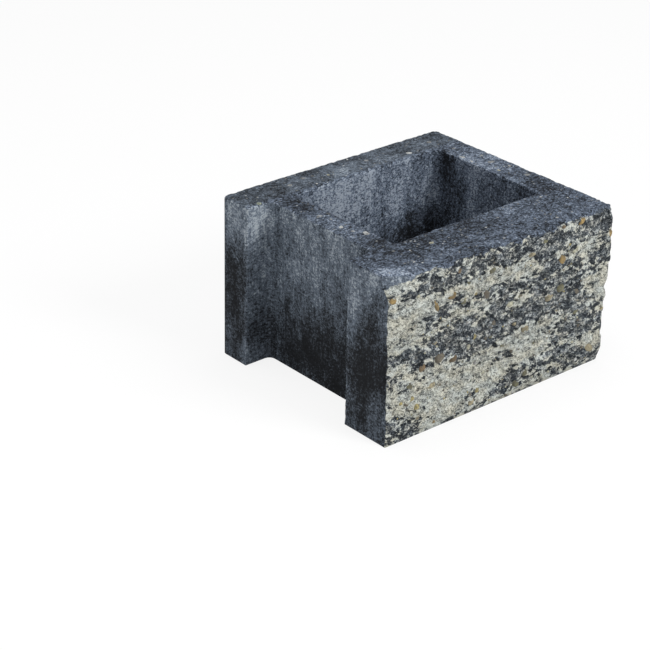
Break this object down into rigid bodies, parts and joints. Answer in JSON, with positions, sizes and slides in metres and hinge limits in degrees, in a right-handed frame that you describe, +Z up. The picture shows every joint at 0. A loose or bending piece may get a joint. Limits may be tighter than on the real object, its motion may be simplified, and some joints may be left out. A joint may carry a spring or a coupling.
{
  "type": "hollow concrete wall block",
  "caption": "Hollow concrete wall block with a rough split face, smooth moulded back and ends, a through core and a shared recess in the grooved end.",
  "frame": {"origin": "middle of the underside's bounding rectangle", "axes": "+X along the wall towards the plain end, -Y out of the split face, +Z up"},
  "size_m": [0.25, 0.223, 0.15],
  "materials": {
    "concrete": "matt pressed concrete in anthracite, marbled with cream, with yellow and brown pebbles showing where it is split"
  },
  "bodies": {
    "root": {"block": "concrete"}
  },
  "joints": []
}
